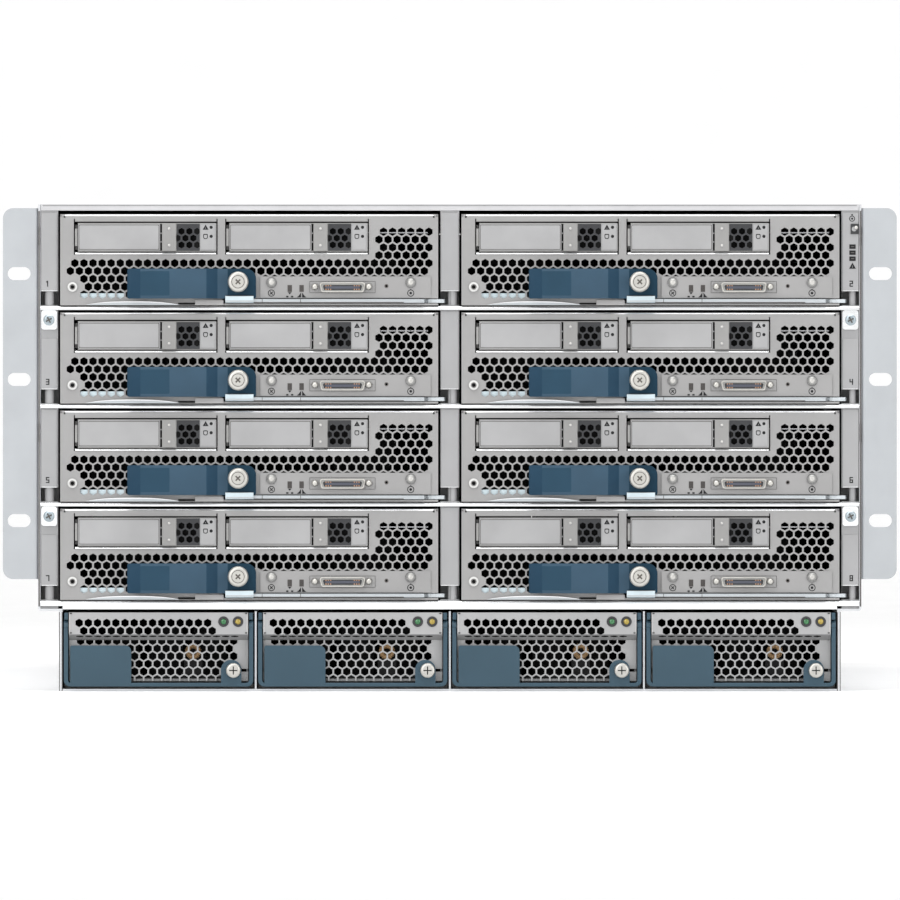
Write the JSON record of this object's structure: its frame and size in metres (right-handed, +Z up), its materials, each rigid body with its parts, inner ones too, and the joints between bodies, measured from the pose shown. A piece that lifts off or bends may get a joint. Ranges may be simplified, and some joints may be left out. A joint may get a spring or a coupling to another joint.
{
  "type": "blade server chassis",
  "caption": "Rack-mount blade server chassis with half-width server blades on ejector levers, hot-swap drives, slide-in power supplies, rear fans, I/O modules and power inlets.",
  "frame": {"origin": "middle of the whole object's footprint, on the surface it stands on", "axes": "+Z up, front faces -Y, +X to the right seen from the front"},
  "size_m": [0.4826, 0.8398, 0.263],
  "materials": {
    "zinc_steel": "zinc plated sheet, satin",
    "case_steel": "light grey, satin",
    "ear_steel": "light cool grey, satin",
    "bright_steel": "bright zinc, folded front edges",
    "post_grey": "mid grey, satin",
    "board_green": "circuit board with dark sockets",
    "fan_black": "moulded, matt",
    "inlet_black": "moulded, matt",
    "io_grey": "grey face with bright ports",
    "blade_grey": "warm grey sheet, satin",
    "lever_blue": "slate blue grip on a zinc steel arm",
    "drive_grey": "grey carrier, satin",
    "rotor_black": "moulded, matt",
    "supply_grey": "grey sheet, satin",
    "handle_blue": "blue grey bail, satin"
  },
  "bodies": {
    "chassis": {"lower_pan": "zinc_steel", "side_walls": "zinc_steel", "top_cover": "case_steel", "rack_ears": "ear_steel", "bay_shelves": "bright_steel", "slot_posts": "post_grey", "midplane": "board_green", "rear_frame": "zinc_steel", "fan_mounts": "fan_black", "power_inlets": "inlet_black"},
    "io_module_1": {"io_module_1": "io_grey"},
    "io_module_2": {"io_module_2": "io_grey"},
    "blade_1": {"blade_1": "blade_grey"},
    "blade_lever_1": {"blade_lever_1": "lever_blue"},
    "drive_left_1": {"drive_left_1": "drive_grey"},
    "drive_right_1": {"drive_right_1": "drive_grey"},
    "blade_2": {"blade_2": "blade_grey"},
    "blade_lever_2": {"blade_lever_2": "lever_blue"},
    "drive_left_2": {"drive_left_2": "drive_grey"},
    "drive_right_2": {"drive_right_2": "drive_grey"},
    "blade_3": {"blade_3": "blade_grey"},
    "blade_lever_3": {"blade_lever_3": "lever_blue"},
    "drive_left_3": {"drive_left_3": "drive_grey"},
    "drive_right_3": {"drive_right_3": "drive_grey"},
    "blade_4": {"blade_4": "blade_grey"},
    "blade_lever_4": {"blade_lever_4": "lever_blue"},
    "drive_left_4": {"drive_left_4": "drive_grey"},
    "drive_right_4": {"drive_right_4": "drive_grey"},
    "blade_5": {"blade_5": "blade_grey"},
    "blade_lever_5": {"blade_lever_5": "lever_blue"},
    "drive_left_5": {"drive_left_5": "drive_grey"},
    "drive_right_5": {"drive_right_5": "drive_grey"},
    "blade_6": {"blade_6": "blade_grey"},
    "blade_lever_6": {"blade_lever_6": "lever_blue"},
    "drive_left_6": {"drive_left_6": "drive_grey"},
    "drive_right_6": {"drive_right_6": "drive_grey"},
    "blade_7": {"blade_7": "blade_grey"},
    "blade_lever_7": {"blade_lever_7": "lever_blue"},
    "drive_left_7": {"drive_left_7": "drive_grey"},
    "drive_right_7": {"drive_right_7": "drive_grey"},
    "blade_8": {"blade_8": "blade_grey"},
    "blade_lever_8": {"blade_lever_8": "lever_blue"},
    "drive_left_8": {"drive_left_8": "drive_grey"},
    "drive_right_8": {"drive_right_8": "drive_grey"},
    "supply_1": {"supply_1": "supply_grey"},
    "supply_handle_1": {"supply_handle_1": "handle_blue"},
    "supply_2": {"supply_2": "supply_grey"},
    "supply_handle_2": {"supply_handle_2": "handle_blue"},
    "supply_3": {"supply_3": "supply_grey"},
    "supply_handle_3": {"supply_handle_3": "handle_blue"},
    "supply_4": {"supply_4": "supply_grey"},
    "supply_handle_4": {"supply_handle_4": "handle_blue"},
    "fan_rotor_1": {"fan_rotor_1": "rotor_black"},
    "fan_rotor_2": {"fan_rotor_2": "rotor_black"},
    "fan_rotor_3": {"fan_rotor_3": "rotor_black"},
    "fan_rotor_4": {"fan_rotor_4": "rotor_black"},
    "fan_rotor_5": {"fan_rotor_5": "rotor_black"},
    "fan_rotor_6": {"fan_rotor_6": "rotor_black"},
    "fan_rotor_7": {"fan_rotor_7": "rotor_black"},
    "fan_rotor_8": {"fan_rotor_8": "rotor_black"}
  },
  "joints": [
    {"name": "blade_slide_1", "type": "slide", "parent": "chassis", "child": "blade_1", "axis": [0, -1, 0], "range_m": [0, 0.6]},
    {"name": "blade_lever_hinge_1", "type": "hinge", "parent": "blade_1", "child": "blade_lever_1", "pos_m": [-0.0108, -0.4044, 0.21075], "axis": [0, 0, 1], "range_deg": [0, 62]},
    {"name": "drive_slide_left_1", "type": "slide", "parent": "blade_1", "child": "drive_left_1", "axis": [0, -1, 0], "range_m": [0, 0.1]},
    {"name": "drive_slide_right_1", "type": "slide", "parent": "blade_1", "child": "drive_right_1", "axis": [0, -1, 0], "range_m": [0, 0.1]},
    {"name": "blade_slide_2", "type": "slide", "parent": "chassis", "child": "blade_2", "axis": [0, -1, 0], "range_m": [0, 0.6]},
    {"name": "blade_lever_hinge_2", "type": "hinge", "parent": "blade_2", "child": "blade_lever_2", "pos_m": [0.2058, -0.4044, 0.21075], "axis": [0, 0, 1], "range_deg": [0, 62]},
    {"name": "drive_slide_left_2", "type": "slide", "parent": "blade_2", "child": "drive_left_2", "axis": [0, -1, 0], "range_m": [0, 0.1]},
    {"name": "drive_slide_right_2", "type": "slide", "parent": "blade_2", "child": "drive_right_2", "axis": [0, -1, 0], "range_m": [0, 0.1]},
    {"name": "blade_slide_3", "type": "slide", "parent": "chassis", "child": "blade_3", "axis": [0, -1, 0], "range_m": [0, 0.6]},
    {"name": "blade_lever_hinge_3", "type": "hinge", "parent": "blade_3", "child": "blade_lever_3", "pos_m": [-0.0108, -0.4044, 0.15775], "axis": [0, 0, 1], "range_deg": [0, 62]},
    {"name": "drive_slide_left_3", "type": "slide", "parent": "blade_3", "child": "drive_left_3", "axis": [0, -1, 0], "range_m": [0, 0.1]},
    {"name": "drive_slide_right_3", "type": "slide", "parent": "blade_3", "child": "drive_right_3", "axis": [0, -1, 0], "range_m": [0, 0.1]},
    {"name": "blade_slide_4", "type": "slide", "parent": "chassis", "child": "blade_4", "axis": [0, -1, 0], "range_m": [0, 0.6]},
    {"name": "blade_lever_hinge_4", "type": "hinge", "parent": "blade_4", "child": "blade_lever_4", "pos_m": [0.2058, -0.4044, 0.15775], "axis": [0, 0, 1], "range_deg": [0, 62]},
    {"name": "drive_slide_left_4", "type": "slide", "parent": "blade_4", "child": "drive_left_4", "axis": [0, -1, 0], "range_m": [0, 0.1]},
    {"name": "drive_slide_right_4", "type": "slide", "parent": "blade_4", "child": "drive_right_4", "axis": [0, -1, 0], "range_m": [0, 0.1]},
    {"name": "blade_slide_5", "type": "slide", "parent": "chassis", "child": "blade_5", "axis": [0, -1, 0], "range_m": [0, 0.6]},
    {"name": "blade_lever_hinge_5", "type": "hinge", "parent": "blade_5", "child": "blade_lever_5", "pos_m": [-0.0108, -0.4044, 0.10475], "axis": [0, 0, 1], "range_deg": [0, 62]},
    {"name": "drive_slide_left_5", "type": "slide", "parent": "blade_5", "child": "drive_left_5", "axis": [0, -1, 0], "range_m": [0, 0.1]},
    {"name": "drive_slide_right_5", "type": "slide", "parent": "blade_5", "child": "drive_right_5", "axis": [0, -1, 0], "range_m": [0, 0.1]},
    {"name": "blade_slide_6", "type": "slide", "parent": "chassis", "child": "blade_6", "axis": [0, -1, 0], "range_m": [0, 0.6]},
    {"name": "blade_lever_hinge_6", "type": "hinge", "parent": "blade_6", "child": "blade_lever_6", "pos_m": [0.2058, -0.4044, 0.10475], "axis": [0, 0, 1], "range_deg": [0, 62]},
    {"name": "drive_slide_left_6", "type": "slide", "parent": "blade_6", "child": "drive_left_6", "axis": [0, -1, 0], "range_m": [0, 0.1]},
    {"name": "drive_slide_right_6", "type": "slide", "parent": "blade_6", "child": "drive_right_6", "axis": [0, -1, 0], "range_m": [0, 0.1]},
    {"name": "blade_slide_7", "type": "slide", "parent": "chassis", "child": "blade_7", "axis": [0, -1, 0], "range_m": [0, 0.6]},
    {"name": "blade_lever_hinge_7", "type": "hinge", "parent": "blade_7", "child": "blade_lever_7", "pos_m": [-0.0108, -0.4044, 0.05175], "axis": [0, 0, 1], "range_deg": [0, 62]},
    {"name": "drive_slide_left_7", "type": "slide", "parent": "blade_7", "child": "drive_left_7", "axis": [0, -1, 0], "range_m": [0, 0.1]},
    {"name": "drive_slide_right_7", "type": "slide", "parent": "blade_7", "child": "drive_right_7", "axis": [0, -1, 0], "range_m": [0, 0.1]},
    {"name": "blade_slide_8", "type": "slide", "parent": "chassis", "child": "blade_8", "axis": [0, -1, 0], "range_m": [0, 0.6]},
    {"name": "blade_lever_hinge_8", "type": "hinge", "parent": "blade_8", "child": "blade_lever_8", "pos_m": [0.2058, -0.4044, 0.05175], "axis": [0, 0, 1], "range_deg": [0, 62]},
    {"name": "drive_slide_left_8", "type": "slide", "parent": "blade_8", "child": "drive_left_8", "axis": [0, -1, 0], "range_m": [0, 0.1]},
    {"name": "drive_slide_right_8", "type": "slide", "parent": "blade_8", "child": "drive_right_8", "axis": [0, -1, 0], "range_m": [0, 0.1]},
    {"name": "supply_slide_1", "type": "slide", "parent": "chassis", "child": "supply_1", "axis": [0, -1, 0], "range_m": [0, 0.56]},
    {"name": "supply_handle_hinge_1", "type": "hinge", "parent": "supply_1", "child": "supply_handle_1", "pos_m": [-0.1572, -0.4079, 0.0346], "axis": [-1, 0, 0], "range_deg": [0, 90]},
    {"name": "supply_slide_2", "type": "slide", "parent": "chassis", "child": "supply_2", "axis": [0, -1, 0], "range_m": [0, 0.56]},
    {"name": "supply_handle_hinge_2", "type": "hinge", "parent": "supply_2", "child": "supply_handle_2", "pos_m": [-0.0524, -0.4079, 0.0346], "axis": [-1, 0, 0], "range_deg": [0, 90]},
    {"name": "supply_slide_3", "type": "slide", "parent": "chassis", "child": "supply_3", "axis": [0, -1, 0], "range_m": [0, 0.56]},
    {"name": "supply_handle_hinge_3", "type": "hinge", "parent": "supply_3", "child": "supply_handle_3", "pos_m": [0.0524, -0.4079, 0.0346], "axis": [-1, 0, 0], "range_deg": [0, 90]},
    {"name": "supply_slide_4", "type": "slide", "parent": "chassis", "child": "supply_4", "axis": [0, -1, 0], "range_m": [0, 0.56]},
    {"name": "supply_handle_hinge_4", "type": "hinge", "parent": "supply_4", "child": "supply_handle_4", "pos_m": [0.1572, -0.4079, 0.0346], "axis": [-1, 0, 0], "range_deg": [0, 90]},
    {"name": "io_slide_1", "type": "slide", "parent": "chassis", "child": "io_module_1", "axis": [0, 1, 0], "range_m": [0, 0.19]},
    {"name": "io_slide_2", "type": "slide", "parent": "chassis", "child": "io_module_2", "axis": [0, 1, 0], "range_m": [0, 0.19]},
    {"name": "fan_spin_1", "type": "hinge", "parent": "chassis", "child": "fan_rotor_1", "pos_m": [-0.17709, 0.3739, 0.20885], "axis": [0, 1, 0], "continuous": true},
    {"name": "fan_spin_2", "type": "hinge", "parent": "chassis", "child": "fan_rotor_2", "pos_m": [-0.09236, 0.3739, 0.20885], "axis": [0, 1, 0], "continuous": true},
    {"name": "fan_spin_3", "type": "hinge", "parent": "chassis", "child": "fan_rotor_3", "pos_m": [0.09236, 0.3739, 0.20885], "axis": [0, 1, 0], "continuous": true},
    {"name": "fan_spin_4", "type": "hinge", "parent": "chassis", "child": "fan_rotor_4", "pos_m": [0.17709, 0.3739, 0.20885], "axis": [0, 1, 0], "continuous": true},
    {"name": "fan_spin_5", "type": "hinge", "parent": "chassis", "child": "fan_rotor_5", "pos_m": [-0.17709, 0.3739, 0.10195], "axis": [0, 1, 0], "continuous": true},
    {"name": "fan_spin_6", "type": "hinge", "parent": "chassis", "child": "fan_rotor_6", "pos_m": [-0.09236, 0.3739, 0.10195], "axis": [0, 1, 0], "continuous": true},
    {"name": "fan_spin_7", "type": "hinge", "parent": "chassis", "child": "fan_rotor_7", "pos_m": [0.09236, 0.3739, 0.10195], "axis": [0, 1, 0], "continuous": true},
    {"name": "fan_spin_8", "type": "hinge", "parent": "chassis", "child": "fan_rotor_8", "pos_m": [0.17709, 0.3739, 0.10195], "axis": [0, 1, 0], "continuous": true}
  ]
}
